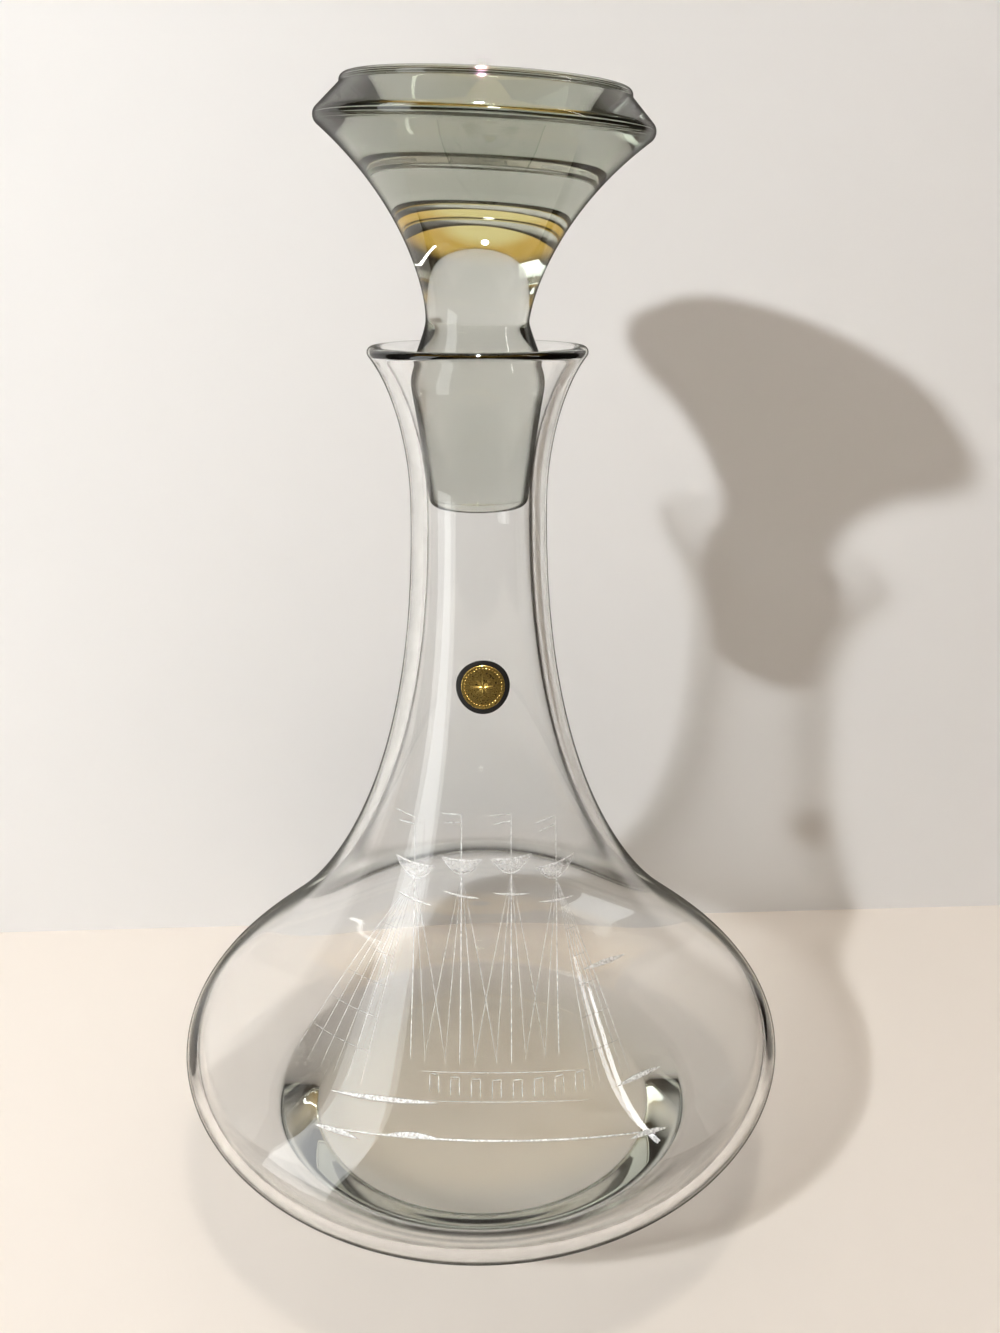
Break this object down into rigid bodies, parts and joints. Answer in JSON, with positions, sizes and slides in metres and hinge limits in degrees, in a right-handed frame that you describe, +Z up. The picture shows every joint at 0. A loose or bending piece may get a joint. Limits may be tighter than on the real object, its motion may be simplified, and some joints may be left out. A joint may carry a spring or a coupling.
{
  "type": "ships decanter",
  "caption": "Clear glass decanter with a wide low bulb, a long neck with a flared lip, a lift-out solid glass stopper with a flared head, and a round foil label on the neck.",
  "frame": {"origin": "middle of the foot, on the table plane and on the decanter's upright axis", "axes": "+Z up along the neck's axis, -Y towards the front with the label and the engraving, +X to the right as seen from the front"},
  "size_m": [0.178, 0.178, 0.2984],
  "materials": {
    "clear_glass": "polished clear blown glass, faint grey-green where thick",
    "stopper_glass": "polished clear solid glass",
    "gold_foil": "embossed gold lacquered foil with a black border"
  },
  "bodies": {
    "decanter": {"decanter_body": "clear_glass", "neck_label": "gold_foil"},
    "stopper": {"stopper": "stopper_glass"}
  },
  "joints": [
    {"name": "stopper_lift", "type": "slide", "parent": "decanter", "child": "stopper", "axis": [0, 0, 1], "range_m": [0, 0.06]}
  ]
}
